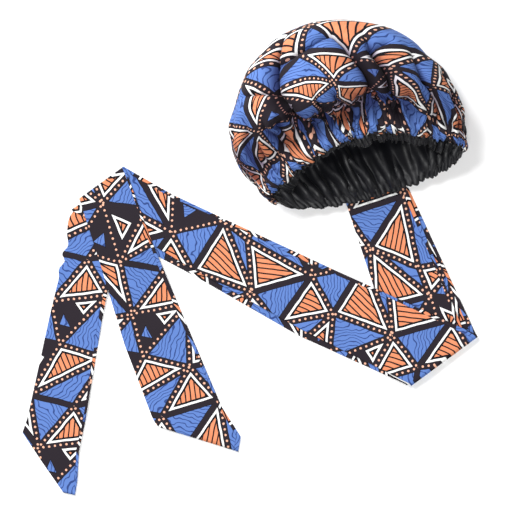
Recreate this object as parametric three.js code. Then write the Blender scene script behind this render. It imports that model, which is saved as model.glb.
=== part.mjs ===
// A satin-lined bonnet of printed cotton with two long sewn ties, lying on a flat surface.
//
// Millimetres, +Z up, the surface at z = 0. +X is to the right and +Y away from the wearer's side
// of the table. The origin is on the surface, under the middle of everything that lies on it.
//
// The cap is a round piece of cotton, gathered at its edge into an elastic casing, with a black satin
// cap inside it. It lies on its back: the mouth's lower lip is on the table, and its upper lip
// stands up, so that the lining shows. Both ties come out from under the lower lip, one on the
// other, fold back at the right, cross to the left and fold again into two loose tails.

import * as THREE from 'three';

// Driving dimensions of the cap
const FLAT_RADIUS = 245;
const COTTON = 1.5;
const SATIN = 1.2;
const CLEARANCE = 0.4;
const CASING_WIDTH = 30;
const SATIN_EDGE = 4;
const PUFF = 4;
const LOWER_ROUND = 0.85;
const PEAK_POWER = 4;
const MOUTH_X = 149;
const MOUTH_Y = 99;
const MOUTH_TURN = THREE.MathUtils.degToRad(14.2);

// Driving dimensions of the ties
const TIE_THICKNESS = 1.5;
const TIE_PITCH = 2.1;
const TIE_STEPS_ACROSS = 5;
const TURN_STEPS = 4;

// How the folds and gathers are shaped: a fold is narrower and fades out towards the hem
const FOLD_WIDTH_AT_HEM = 0.7;
const FOLD_WIDENING = 0.5;
const FOLD_FADE_IN = 0.25;
const FOLD_FADE_OUT = 0.14;
const FOLD_RUN_OUT = 0.05;
const FOLD_SHARPNESS = 1.1;
const FOLD_POWER = 1.4;
const GATHERS_START = 0.62;
const GATHERS_FADE_IN = 0.24;
const POLE_REACH = 0.1;
const RING_STRETCH = 0.21;
const NORMAL_STEP = 0.01;

// Where the two ties lie under the cap's lower lip, across and back from the mouth's middle
const TIES_UNDER_LIP = { across: -2, half: 62, back: 38, slope: 16, layers: 2.05 };

// How finely the cap and the ties are divided
const ROOT_STEPS = 2;
const LEG_STEPS = 9;
const MIDDLE_STEPS = 3;
const LEFT_HALF_STEPS = 8;
const SLOPING_TAIL_STEPS = 5;
const FLAT_TAIL_STEPS = 2;
const COLUMNS = 88;
const GATHERS = 22;
const GATHER_DEPTH = 2.4;
const COTTON_END = 1 - SATIN_EDGE / FLAT_RADIUS;
const CASING_START = 1 - CASING_WIDTH / FLAT_RADIUS;
const ROWS = [0.07, 0.16, 0.26, 0.36, 0.46, 0.55, 0.63, 0.71, 0.78, 0.835, CASING_START, 0.935,
  COTTON_END];

// Rings of the cap from the crown's far end, reach 0, to the hem, reach 1.
// across is measured along the mouth, back from the mouth to the crown's far end, up from the table.
// Each ring has its two side points, its top point and its lowest point. peak draws the top to a
// point, as on the mouth's upper lip, and skew pulls the lower left out and the lower right in.
const RINGS = namedRows(
  ['reach', 'across', 'half', 'sideBack', 'sideUp', 'topBack', 'topUp', 'lowBack', 'lowUp', 'peak', 'skew'],
  [
    [0.00, -28, 0, 194, 44, 194, 44, 194, 44, 0, 0],
    [0.10, -30, 57, 181, 43, 189, 68, 171, 12, 0, 0],
    [0.20, -27, 88, 160, 43, 174, 87, 150, -2, 0, 0],
    [0.30, -24, 107, 139, 42, 156, 99, 127, -5, 0, 0],
    [0.40, -22, 119, 119, 41, 136, 107, 104, -6, 0, 0],
    [0.50, -21, 129, 98, 40, 116, 110, 82, -6, 0, 0],
    [0.60, -18, 135, 78, 39, 99, 109, 60, -5, 0, 0],
    [0.70, -16, 137, 58, 37, 86, 103, 38, -4, 0.1, 0],
    [0.80, -13, 134, 38, 34, 75, 91, 14, -1, 0.2, 2],
    [0.88, -12, 130, 19, 30, 66, 75, -4, 2, 0.4, 4],
    [1.00, -6, 115, 2, 25, 45, 58, -27, 4, 0.55, 6],
  ],
);

// The deep folds that run from the casing up the crown. at is the angle round the crown at the casing,
// lean how far it swings on its way to the far end, wide its half width, all in degrees.
const FOLDS = namedRows(
  ['at', 'lean', 'wide', 'deep', 'from', 'to'],
  [
    [28, -6, 6, 11, 0.45, 0.96],
    [42, -8, 7, 14, 0.30, 0.97],
    [60, -8, 6, 9, 0.55, 0.95],
    [79, -32, 8, 24, 0.16, 0.98],
    [94, 3, 6, 13, 0.55, 0.95],
    [112, 3, 7, 16, 0.50, 0.97],
    [138, 5, 7, 17, 0.30, 0.97],
    [158, 3, 6, 13, 0.55, 0.97],
    [172, 6, 5, 14, 0.50, 0.98],
    [187, 4, 5, 12, 0.60, 0.98],
    [206, 4, 6, 9, 0.50, 0.95],
    [232, -4, 7, 8, 0.40, 0.95],
    [262, 5, 7, 7, 0.40, 0.95],
    [290, -5, 7, 8, 0.40, 0.95],
    [318, 4, 7, 9, 0.40, 0.95],
    [342, -4, 6, 10, 0.50, 0.96],
    [6, 5, 6, 9, 0.55, 0.96],
  ],
);

// Hollows that lie across the crown, behind its puffs.
const DENTS = namedRows(
  ['at', 'reach', 'wide', 'long', 'deep'],
  [
    [98, 0.13, 30, 0.06, 9],
    [45, 0.30, 14, 0.07, 9],
    [150, 0.36, 12, 0.08, 8],
  ],
);

// Cross-sections of the two ties, from the sewn root to the cut end. aX, aY and bX, bY are the tie's
// two edges on the table. A row named a crease is where the tie turns over or under itself.
const RIGHT_TIE = [
  { name: 'root', aX: 104, aY: 99, bX: 171, bY: 125 },
  { name: 'crease', aX: 191, aY: -151, bX: 271, bY: -92, rise: 3 },
  { name: 'middle', aX: 62, aY: -85, bX: 97, bY: -13 },
  { name: 'left half', aX: -62, aY: -16, bX: -30, bY: 46 },
  { name: 'crease', aX: -204, aY: 69, bX: -150, bY: 108, rise: 1 },
  { name: 'tail', aX: -182, aY: 0, bX: -120, bY: 25 },
  { name: 'tail', aX: -150, aY: -106, bX: -75, bY: -83 },
  { name: 'tail', aX: -119, aY: -187, bX: -33, bY: -176 },
  { name: 'end', aX: -112, aY: -202, bX: -9, bY: -233 },
];
const LEFT_TIE = [
  { name: 'root', aX: 104, aY: 99, bX: 171, bY: 125 },
  { name: 'crease', aX: 187, aY: -152, bX: 260, bY: -98, rise: 1 },
  { name: 'middle', aX: 60, aY: -93, bX: 97, bY: -20 },
  { name: 'left half', aX: -62, aY: -23, bX: -31, bY: 39 },
  { name: 'crease', aX: -213, aY: 56, bX: -149, bY: 99, rise: -1 },
  { name: 'tail', aX: -223, aY: 3, bX: -162, bY: 5 },
  { name: 'tail', aX: -240, aY: -69, bX: -177, bY: -73 },
  { name: 'tail', aX: -267, aY: -193, bX: -198, bY: -199 },
  { name: 'tail', aX: -273, aY: -210, bX: -205, bY: -232 },
  { name: 'end', aX: -249, aY: -247, bX: -214, bY: -286 },
];

// Where a tie comes down off the layers under it: the height falls by drop over a slope that starts
// at x, y and runs on for long in the direction of bearing.
const OFF_FIRST_LEG = { x: 146, y: -30, bearing: 198, long: 42, drop: 2 * TIE_PITCH };
const OFF_LEFT_TAIL = { x: -157, y: 20, bearing: -10, long: 40, drop: TIE_PITCH };
const OFF_SECOND_LEG = { x: -120, y: 4, bearing: 242, long: 42, drop: 2 * TIE_PITCH };

// Rows of a table as objects with named values.
function namedRows(names, rows) {
  return rows.map((row) => Object.fromEntries(names.map((name, index) => [name, row[index]])));
}

function smoothStep(value) {
  return THREE.MathUtils.smoothstep(value, 0, 1);
}

// One value of the rings at a reach, on a smooth curve through the table's rows.
function ringValue(column, reach) {
  let row = 0;
  while (row < RINGS.length - 2 && reach > RINGS[row + 1].reach) {
    row += 1;
  }
  const slopeAt = (index) => {
    const before = RINGS[Math.max(index - 1, 0)];
    const after = RINGS[Math.min(index + 1, RINGS.length - 1)];
    return (after[column] - before[column]) / (after.reach - before.reach);
  };
  const start = RINGS[row];
  const end = RINGS[row + 1];
  const span = end.reach - start.reach;
  const s = (reach - start.reach) / span;
  const rest = 1 - s;
  return start[column] * (1 + 2 * s) * rest * rest
    + end[column] * s * s * (3 - 2 * s)
    + slopeAt(row) * span * s * rest * rest
    - slopeAt(row + 1) * span * s * s * rest;
}

// The angle round a ring at which equal steps of the flat cloth are equal steps along the ring.
function ringAngle(turn) {
  return turn + RING_STRETCH * Math.sin(2 * turn);
}

// A point of the smooth cap, without folds, in across, back and up. shaped turns the peak on.
function smoothPoint(turn, reach, shaped) {
  const value = (column) => ringValue(column, reach);
  const angle = ringAngle(turn);
  const climb = Math.abs(Math.sin(angle));
  const upper = Math.sin(angle) >= 0;
  const peak = shaped && upper ? value('peak') : 0;
  const part = upper ? climb * (1 - peak) + Math.pow(climb, PEAK_POWER) * peak : Math.pow(climb, LOWER_ROUND);
  const pull = upper ? 0 : value('skew') * Math.cos(angle) * climb;
  const far = upper ? 'top' : 'low';
  return new THREE.Vector3(
    value('across') + Math.max(value('half'), 0) * Math.cos(angle),
    value('sideBack') + (value(far + 'Back') - value('sideBack')) * part + pull,
    value('sideUp') + (value(far + 'Up') - value('sideUp')) * part,
  );
}

// The smooth cap's outward direction.
function outward(turn, reach) {
  const place = Math.max(reach, NORMAL_STEP);
  const along = smoothPoint(turn, place + NORMAL_STEP, false)
    .sub(smoothPoint(turn, place - NORMAL_STEP, false));
  const round = smoothPoint(turn + NORMAL_STEP, place, false)
    .sub(smoothPoint(turn - NORMAL_STEP, place, false));
  return round.cross(along).normalize();
}

function degreesApart(turn, degrees) {
  const apart = THREE.MathUtils.radToDeg(turn) - degrees;
  return THREE.MathUtils.euclideanModulo(apart + 180, 360) - 180;
}

// How far the cloth stands in from the smooth cap: folds, dents and the gathers at the casing.
function relief(turn, reach) {
  let depth = 0;
  for (const fold of FOLDS) {
    const path = fold.at + fold.lean * (CASING_START - reach);
    const halfWidth = fold.wide * (FOLD_WIDTH_AT_HEM + FOLD_WIDENING * (1 - reach));
    const near = Math.abs(degreesApart(turn, path)) / halfWidth;
    const begun = smoothStep((reach - fold.from) / FOLD_FADE_IN);
    const left = smoothStep((fold.to + FOLD_RUN_OUT - reach) / FOLD_FADE_OUT);
    depth += fold.deep * begun * left * Math.exp(-FOLD_SHARPNESS * Math.pow(near, FOLD_POWER));
  }
  for (const dent of DENTS) {
    const aside = degreesApart(turn, dent.at) / dent.wide;
    const away = (reach - dent.reach) / dent.long;
    depth += dent.deep * Math.exp(-aside * aside - away * away);
  }
  const gathered = smoothStep((reach - GATHERS_START) / GATHERS_FADE_IN);
  depth += GATHER_DEPTH * gathered * (1 + Math.sin(GATHERS * turn + 2 * Math.sin(3 * turn)));
  return depth;
}

// The height of what the cap lies on: the table, or the two ties where they pass under its lip.
function supportHeight(across, back) {
  const ties = TIES_UNDER_LIP;
  const beside = smoothStep((ties.half - Math.abs(across - ties.across)) / ties.slope);
  const before = smoothStep((ties.back - back) / ties.slope);
  return ties.layers * TIE_PITCH * beside * before;
}

// A point of one layer of the cap, depth below its outer face, in the part's own frame.
function capPoint(turn, reach, depth) {
  const point = smoothPoint(turn, reach, true);
  const inward = (relief(turn, reach) - PUFF) * Math.min(1, reach / POLE_REACH) + depth;
  point.addScaledVector(outward(turn, reach), -inward);
  point.z = Math.max(point.z, supportHeight(point.x, point.y) + depth);
  const x = point.x * Math.cos(MOUTH_TURN) - point.y * Math.sin(MOUTH_TURN) + MOUTH_X;
  const y = point.x * Math.sin(MOUTH_TURN) + point.y * Math.cos(MOUTH_TURN) + MOUTH_Y;
  return new THREE.Vector3(x, y, point.z);
}

// A closed body from rows of points, each row joined to the next one.
function bodyFromPoints(points, triangles) {
  const geometry = new THREE.BufferGeometry();
  geometry.setFromPoints(points);
  geometry.setIndex(triangles);
  geometry.computeVertexNormals();
  return geometry;
}

// A cup of cloth: an outer and an inner face, joined at the hem.
function cupGeometry(outerDepth, innerDepth, rows) {
  const points = [];
  const triangles = [];
  const poles = [];
  for (const depth of [outerDepth, innerDepth]) {
    poles.push(points.length);
    points.push(capPoint(0, 0, depth));
    for (const reach of rows) {
      for (let column = 0; column < COLUMNS; column += 1) {
        points.push(capPoint(2 * Math.PI * column / COLUMNS, reach, depth));
      }
    }
  }
  const at = (layer, row, column) => poles[layer] + 1 + row * COLUMNS + column % COLUMNS;
  const addQuad = (a, b, c, d, flipped) => {
    triangles.push(...(flipped ? [a, c, b, a, d, c] : [a, b, c, a, c, d]));
  };
  for (let column = 0; column < COLUMNS; column += 1) {
    const next = column + 1;
    triangles.push(poles[0], at(0, 0, next), at(0, 0, column));
    triangles.push(poles[1], at(1, 0, column), at(1, 0, next));
    for (let row = 0; row < rows.length - 1; row += 1) {
      for (const layer of [0, 1]) {
        const corners = [at(layer, row, column), at(layer, row, next), at(layer, row + 1, next),
          at(layer, row + 1, column)];
        addQuad(...corners, layer === 1);
      }
    }
    const last = rows.length - 1;
    addQuad(at(0, last, column), at(0, last, next), at(1, last, next), at(1, last, column), false);
  }
  return bodyFromPoints(points, triangles);
}

// What is left of a slope's drop at a place.
function slopeHeight(slope, x, y) {
  const bearing = THREE.MathUtils.degToRad(slope.bearing);
  const ahead = (x - slope.x) * Math.cos(bearing) + (y - slope.y) * Math.sin(bearing);
  return slope.drop * (1 - smoothStep(ahead / slope.long));
}

// The cross-sections of one leg of a tie, between two rows of its table.
function legSections(from, to, steps, level, slopes, facing) {
  const sections = [];
  for (let step = 0; step <= steps; step += 1) {
    const part = step / steps;
    const section = [];
    for (let place = 0; place <= TIE_STEPS_ACROSS; place += 1) {
      const across = place / TIE_STEPS_ACROSS;
      const aX = THREE.MathUtils.lerp(from.aX, to.aX, part);
      const aY = THREE.MathUtils.lerp(from.aY, to.aY, part);
      const bX = THREE.MathUtils.lerp(from.bX, to.bX, part);
      const bY = THREE.MathUtils.lerp(from.bY, to.bY, part);
      const x = THREE.MathUtils.lerp(aX, bX, across);
      const y = THREE.MathUtils.lerp(aY, bY, across);
      const lift = slopes.reduce((height, slope) => height + slopeHeight(slope, x, y), 0);
      const z = TIE_THICKNESS / 2 + level * TIE_PITCH + lift;
      section.push({ point: new THREE.Vector3(x, y, z), normal: new THREE.Vector3(0, 0, facing) });
    }
    sections.push(section);
  }
  return sections;
}

// The cross-sections of a crease: half a turn about the crease's own line, away from the legs.
function creaseSections(crease, level, facing) {
  const edge = new THREE.Vector3(crease.bX - crease.aX, crease.bY - crease.aY, 0).normalize();
  const away = new THREE.Vector3(edge.y, -edge.x, 0).multiplyScalar(crease.away);
  const radius = crease.rise * TIE_PITCH / 2;
  const middle = TIE_THICKNESS / 2 + level * TIE_PITCH + radius;
  const sections = [];
  for (let step = 1; step < TURN_STEPS; step += 1) {
    const angle = Math.PI * step / TURN_STEPS;
    const section = [];
    for (let place = 0; place <= TIE_STEPS_ACROSS; place += 1) {
      const across = place / TIE_STEPS_ACROSS;
      const point = new THREE.Vector3(
        THREE.MathUtils.lerp(crease.aX, crease.bX, across),
        THREE.MathUtils.lerp(crease.aY, crease.bY, across),
        middle - radius * Math.cos(angle),
      );
      point.addScaledVector(away, Math.abs(radius) * Math.sin(angle));
      const normal = new THREE.Vector3(0, 0, facing * Math.cos(angle));
      normal.addScaledVector(away, -facing * Math.sign(radius) * Math.sin(angle));
      section.push({ point, normal });
    }
    sections.push(section);
  }
  return sections;
}

// A flat tie from its cross-sections: an upper and a lower face, two edges and two ends.
function tieGeometry(sections) {
  const points = [];
  const triangles = [];
  for (const section of sections) {
    for (const side of [1, -1]) {
      for (const { point, normal } of section) {
        points.push(point.clone().addScaledVector(normal, side * TIE_THICKNESS / 2));
      }
    }
  }
  const width = TIE_STEPS_ACROSS + 1;
  const at = (row, side, place) => (row * 2 + side) * width + place;
  const addQuad = (a, b, c, d) => triangles.push(a, b, c, a, c, d);
  for (let row = 0; row < sections.length - 1; row += 1) {
    for (let place = 0; place < TIE_STEPS_ACROSS; place += 1) {
      addQuad(at(row, 0, place), at(row + 1, 0, place), at(row + 1, 0, place + 1), at(row, 0, place + 1));
      addQuad(at(row, 1, place), at(row, 1, place + 1), at(row + 1, 1, place + 1), at(row + 1, 1, place));
    }
    const edge = TIE_STEPS_ACROSS;
    addQuad(at(row, 0, 0), at(row, 1, 0), at(row + 1, 1, 0), at(row + 1, 0, 0));
    addQuad(at(row, 0, edge), at(row + 1, 0, edge), at(row + 1, 1, edge), at(row, 1, edge));
  }
  const last = sections.length - 1;
  for (let place = 0; place < TIE_STEPS_ACROSS; place += 1) {
    addQuad(at(0, 0, place), at(0, 0, place + 1), at(0, 1, place + 1), at(0, 1, place));
    addQuad(at(last, 0, place), at(last, 1, place), at(last, 1, place + 1), at(last, 0, place + 1));
  }
  return bodyFromPoints(points, triangles);
}

// The whole run of one tie: three legs with a crease between each two.
function tieSections(rows, firstLevel, lastLevel, slopes) {
  const [root, first, middle, leftHalf, second, ...tail] = rows;
  const sections = legSections(root, first, ROOT_STEPS, firstLevel, [], 1);
  sections.push(...creaseSections({ ...first, away: 1 }, firstLevel, 1));
  const secondLeg = (from, to, steps) => (
    legSections(from, to, steps, slopes.secondLevel, slopes.secondLeg, -1)
  );
  sections.push(...secondLeg(first, middle, LEG_STEPS));
  sections.push(...secondLeg(middle, leftHalf, MIDDLE_STEPS).slice(1));
  sections.push(...secondLeg(leftHalf, second, LEFT_HALF_STEPS).slice(1));
  sections.push(...creaseSections({ ...second, away: -1 }, slopes.creaseLevel, -1));
  let from = second;
  let skipped = 0;
  for (const to of tail) {
    const sloping = slopes.tail.length > 0 && to !== tail[tail.length - 1];
    const steps = sloping ? SLOPING_TAIL_STEPS : FLAT_TAIL_STEPS;
    sections.push(...legSections(from, to, steps, lastLevel, slopes.tail, 1).slice(skipped));
    from = to;
    skipped = 1;
  }
  return sections;
}

const cotton = { color: 0x4a68c4, roughness: 0.85, metalness: 0 };
const satin = { color: 0x141418, roughness: 0.4, metalness: 0 };

function crownShell() {
  const mesh = new THREE.Mesh(cupGeometry(0, COTTON, ROWS), new THREE.MeshStandardMaterial(cotton));
  mesh.name = 'crown_shell';
  return mesh;
}

function lining() {
  const top = COTTON + CLEARANCE;
  const geometry = cupGeometry(top, top + SATIN, [...ROWS, 1]);
  const mesh = new THREE.Mesh(geometry, new THREE.MeshStandardMaterial(satin));
  mesh.name = 'lining';
  return mesh;
}

function rightTie() {
  const slopes = {
    secondLevel: 1,
    secondLeg: [OFF_FIRST_LEG, OFF_LEFT_TAIL],
    creaseLevel: 2,
    tail: [OFF_SECOND_LEG, OFF_LEFT_TAIL],
  };
  const geometry = tieGeometry(tieSections(RIGHT_TIE, 0, 0, slopes));
  const mesh = new THREE.Mesh(geometry, new THREE.MeshStandardMaterial(cotton));
  mesh.name = 'tie_right';
  return mesh;
}

function leftTie() {
  const slopes = {
    secondLevel: 0,
    secondLeg: [OFF_FIRST_LEG, OFF_LEFT_TAIL],
    creaseLevel: 1,
    tail: [],
  };
  const geometry = tieGeometry(tieSections(LEFT_TIE, 1, 0, slopes));
  const mesh = new THREE.Mesh(geometry, new THREE.MeshStandardMaterial(cotton));
  mesh.name = 'tie_left';
  return mesh;
}

const bonnet = new THREE.Group();
bonnet.add(crownShell(), lining(), rightTie(), leftTie());

export default bonnet;
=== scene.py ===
import math

import bpy
import numpy as np
from bpy.props import FloatProperty, FloatVectorProperty, IntProperty, PointerProperty
from bpy.types import Operator, Panel, PropertyGroup
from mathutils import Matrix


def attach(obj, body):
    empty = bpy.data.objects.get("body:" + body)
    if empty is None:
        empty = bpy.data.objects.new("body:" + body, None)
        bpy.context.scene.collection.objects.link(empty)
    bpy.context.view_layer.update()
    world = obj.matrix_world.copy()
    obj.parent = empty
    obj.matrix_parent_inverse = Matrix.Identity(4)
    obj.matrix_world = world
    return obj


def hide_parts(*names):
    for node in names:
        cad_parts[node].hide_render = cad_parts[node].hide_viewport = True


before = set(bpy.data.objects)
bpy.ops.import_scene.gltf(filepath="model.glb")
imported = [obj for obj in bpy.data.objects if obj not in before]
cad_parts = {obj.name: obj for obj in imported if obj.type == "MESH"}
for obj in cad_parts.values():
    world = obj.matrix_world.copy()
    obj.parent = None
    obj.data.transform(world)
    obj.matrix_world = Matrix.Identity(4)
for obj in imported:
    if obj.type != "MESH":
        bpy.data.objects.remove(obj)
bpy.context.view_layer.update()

bl_info = {
    "name": "Satin bonnet",
    "version": (1, 0, 0),
    "blender": (4, 5, 0),
    "location": "3D View > Sidebar > Bonnet",
    "description": "A satin-lined bonnet of printed cotton with two long ties, lying flat",
    "category": "Add Mesh",
}

MM = 0.001

# The middle of the mouth on the table and how far the mouth's line is turned, in metres and radians
MOUTH_X = 0.149
MOUTH_Y = 0.099
MOUTH_TURN = math.radians(14.2)

# The photo's square frame and the origin's place in it in pixels, and the size of a pixel in metres
PHOTO_SIDE = 516
ORIGIN_ACROSS = 250
ORIGIN_DOWN = 257.5
PIXEL = 0.0012

# The tables and the numbers under them are in millimetres and degrees where they name no other unit,
# and reach goes from 0 at the crown's far end to 1 at the hem


def table(columns, *rows):
    """Named columns of a short table, each as one array."""
    return {name: np.array(values, float) for name, values in zip(columns, zip(*rows))}


# Rings of the cap: their middle and half width across, how far back and up their sides, top and lowest
# point lie, how much the top is drawn to a peak, and how far the lower half is skewed
RINGS = table(
    ("reach", "across", "half", "side_back", "side_up", "top_back", "top_up", "low_back", "low_up",
     "peak", "skew"),
    (0.00, -28, 0, 194, 44, 194, 44, 194, 44, 0.00, 0),
    (0.10, -28, 50, 181, 43, 189, 68, 171, 12, 0.00, 0),
    (0.20, -26, 83, 160, 43, 174, 87, 150, -2, 0.00, 0),
    (0.30, -24, 105, 139, 42, 156, 99, 127, -5, 0.00, 0),
    (0.40, -23, 118, 119, 41, 136, 107, 104, -6, 0.00, 0),
    (0.50, -22, 131, 98, 40, 116, 110, 82, -6, 0.00, 0),
    (0.60, -21, 138, 78, 39, 99, 109, 60, -5, 0.00, 0),
    (0.70, -19, 140, 58, 37, 86, 103, 38, -4, 0.10, 0),
    (0.80, -16, 137, 38, 34, 75, 91, 14, -1, 0.20, 1),
    (0.88, -12, 129, 20, 30, 66, 75, -4, 2, 0.40, 1),
    (1.00, -7, 113, 3, 25, 45, 58, -27, 4, 0.55, 2),
)

# Deep folds that run from the casing up the crown: at is the angle at the casing, lean and bend its
# swing on the way up, lap how far the puff on its left, or on its right if negative, hangs over it
FOLDS = table(
    ("at", "lean", "bend", "wide", "deep", "start", "stop", "lap"),
    (29, -8, -10, 6, 18, 0.28, 0.90, -6),
    (53, -18, 0, 7, 26, 0.16, 0.91, -9),
    (67, -9, 0, 6, 15, 0.47, 0.89, 4),
    (84, -75, 88, 9, 38, 0.10, 0.92, 15),
    (96, -4, 0, 7, 24, 0.44, 0.89, 6),
    (108, 2, 0, 6, 19, 0.52, 0.90, 5),
    (120, 30, 0, 7, 32, 0.02, 0.91, -9),
    (141, 12, 0, 6, 17, 0.50, 0.90, -5),
    (158, 3, 0, 6, 20, 0.43, 0.90, -5),
    (172, 6, 0, 5, 21, 0.40, 0.91, -5),
    (187, 4, 0, 5, 18, 0.48, 0.91, 4),
    (206, 4, 0, 6, 14, 0.38, 0.95, 0),
    (228, -20, 0, 7, 14, 0.30, 0.95, 0),
    (250, -42, 0, 8, 17, 0.30, 0.95, 0),
    (270, -48, 0, 6, 15, 0.30, 0.95, 0),
    (291, -42, 0, 8, 17, 0.30, 0.95, 0),
    (318, -22, 0, 7, 15, 0.30, 0.95, 0),
    (342, -4, 0, 6, 15, 0.38, 0.96, 0),
    (8, 5, 0, 6, 14, 0.43, 0.96, -4),
)

# Hollows that lie across the crown, behind its puffs: slant is their change of reach in one degree, lap
# how far the puff in front of one hangs over it
DENTS = table(
    ("at", "reach", "slant", "wide", "long", "deep", "lap"),
    (100, 0.235, 0.0019, 30, 0.030, 15, 4),
    (150, 0.425, -0.0026, 15, 0.030, 11, 5),
    (40, 0.33, 0.002, 10, 0.030, 10, 4),
)

# Finer and finer gathers towards the hem: count round the ring, the reach where they start, are full
# and end, and their depth. Where the cloth is laid on the table, later is how much later they start and
# laid what their depth is multiplied by
GATHERS = table(
    ("count", "start", "full", "stop", "deep", "later", "laid"),
    (26, 0.42, 0.80, 0.93, 11.0, 0.00, 1.5),
    (52, 0.58, 0.80, 0.97, 8.5, 0.16, 1.5),
    (92, 0.68, 0.84, 1.20, 6.5, 0.16, 0.3),
    (134, 0.80, 0.93, 1.20, 3.0, 0.16, 0.3),
)
COARSE_GATHERS = 26
FINE_GATHERS = 92

# Waves round the ring, in radians of a gather's phase: how all gathers wander, how they swing more
# towards the far end, and how the side to which they lean changes
WAVE_COLUMNS = ("size", "waves", "start", "twist")
GATHER_WANDER = table(WAVE_COLUMNS, (1.1, 3, 1, 0), (0.7, 5, 2.4, 0), (0.35, 11, 0, 0))
GATHER_SWING = table(WAVE_COLUMNS, (3.0, 4, 0.7, 0), (1.5, 9, 0, 12))
LEAN_SWING = table(WAVE_COLUMNS, (4, 3, 0, 8))

# How much of the satin's frill stands out at each angle round the hem
FRILL = table(
    ("at", "share"),
    (0, 0.7), (15, 1.0), (88, 1.0), (108, 0.3), (148, 0.3), (164, 1.4), (184, 1.6), (196, 0.8), (208, 0.1),
    (340, 0.1), (360, 0.7),
)

# The shape of a ring: how far its points move from the sides to the middle, in radians, and the
# roundness of its lower half and peak
RING_STRETCH = 0.21
LOWER_ROUND = 0.85
PEAK_POWER = 4

# How the rings crowd towards the hem, the step that finds the cloth's directions, and the reach up to
# which the cloth is smooth round the far end
RING_CROWDING = 0.85
NORMAL_STEP = 0.01
POLE_REACH = 0.1

# The shape of a deep fold: its valley, its wandering path up from the casing, its width, its ends, and
# the lap beside it. A hollow fades out at its two ends by a power of its squareness
VALLEY_STEEPNESS = 1.2
CASING_REACH = 0.88
FOLD_WANDER = 1.5
FOLD_WANDER_RATE = 17
FOLD_WIDTH_AT_HEM = 0.7
FOLD_WIDENING = 0.5
FOLD_FADE_IN = 0.3
FOLD_FADE_OUT = 0.14
FOLD_RUN_OUT = 0.05
LAP_PLACE = 0.9
LAP_WIDTH = 0.8
DENT_SQUARENESS = 4

# The shape of a gather, how its strength varies round the ring, and how far it leans
GATHER_STRENGTH = 0.7
GATHER_UNEVEN = 0.5
STRENGTH_WAVES = (4, 7)
GATHER_FADE_OUT = 0.09
GATHER_POWER = 0.8
GATHER_LEAN = 0.36

# Soft swells over the cap's flat cloth: the length of a radian of each wave, its slant, and how far and
# over what length it bends, and the heights of the broad and the fine ones
CRUMPLE_BROAD = ((17, 0, 1.4, 29), (15, 0, 1.2, 23))
CRUMPLE_FINE = ((8, 0.6, 1.5, 13), (9, -0.5, 0, 1))
CRUMPLE_HEIGHTS = (1.9, 0.8)

# Puckers of the ties, in the same way, and how much of them shows up to a distance from the mouth's
# middle and beyond twice that distance
PUCKER_BROAD = ((23, 0, 1.3, 31), (19, 0, 1.1, 37))
PUCKER_FINE = (7.5, 0.5, 1, 11)
PUCKER_HEIGHTS = (0.5, 0.25)
PUCKER_START = 60
PUCKER_NEAR = 0.3
PUCKER_FAR = 1.4

# The groove of the stitch line, and how much calmer the laid cloth's gathers are up to just before it
GROOVE_DEPTH = 5.5
LAID_GROOVE_DEPTH = 1.5
GROOVE_WIDTH = 0.017
CALM = 0.15
CALM_BEFORE = 0.06
CALM_FADE = 0.08

# How quickly cloth that turns down comes to lie on the table, the most that a fold is deep at the rims,
# before RIM_DEPTH lessens it, and where the cloth is laid, and what is left there of the cotton's folds,
# the swells and the casing
LAID_STEEPNESS = 2
MOST_DEPTH = 26
LAID_MOST_DEPTH = 21
LAID_COTTON = 0.34
LAID_CRUMPLE = 0.3
LAID_SWELL = 0.5

# The two side rims, where the upper and the lower cloth meet: how far they are turned, in radians, how
# sharply and from which reach on they are marked off, and what is left there of the most depth and of
# the shift round the ring
RIM_TURN = 0.1
RIM_SHARPNESS = 5
RIM_START = 0.45
RIM_FADE = 0.2
RIM_DEPTH = 0.26
RIM_LEAN = 0.3

# How far the satin's folds are widened, in points round the ring, and where that ends
LINING_WIDENING = 3
WIDENING_END = 0.92
WIDENING_FADE = 0.05

# The depth from which a place counts as hollow and starts to get painted shade, and the further depth at
# which it is wholly so
SHADE_DEPTH_START = 2
SHADE_DEPTH_RANGE = 16

# The casing's roundness and the hem: its scallops, their middle, where they start, and the frill's curl
# and rows of points
CASING_ROUND = 0.7
SCALLOP = 1.6
SCALLOP_MIDDLE = 2.2
HEM_START = 0.9
CURL = 0.02
FRILL_ROWS = 6

# The two ties under the lower lip, from the mouth's middle, and the slope of the cloth that lies on them
UNDER_LIP_ACROSS = -2
UNDER_LIP_HALF = 62
UNDER_LIP_BACK = 38
UNDER_LIP_SLOPE = 16
UNDER_LIP_HEIGHT = 4.3

# Cross-sections of the two ties, from the sewn root to the cut end: edge a and edge b on the table
TIE_COLUMNS = ("a_x", "a_y", "b_x", "b_y")
RIGHT_TIE = table(
    TIE_COLUMNS,
    (104, 99, 171, 125),
    (191, -151, 271, -92),
    (61, -86, 97, -13),
    (-63, -17, -30, 46),
    (-134, 25, -92, 75),
    (-204, 69, -150, 108),
    (-182, 0, -120, 25),
    (-150, -106, -75, -83),
    (-118, -190, -34, -179),
    (-114, -198, -11, -215),
    (-110, -203, -14, -233),
)
LEFT_TIE = table(
    TIE_COLUMNS,
    (104, 99, 171, 125),
    (187, -152, 260, -98),
    (59, -94, 97, -20),
    (-63, -24, -31, 39),
    (-138, 16, -91, 67),
    (-213, 56, -149, 99),
    (-223, 3, -162, 5),
    (-240, -69, -177, -73),
    (-267, -193, -198, -199),
    (-273, -210, -205, -232),
    (-249, -246, -207, -268),
    (-224, -282, -210, -285),
)
FIRST_CREASE = 1
SECOND_CREASE = 5

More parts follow.
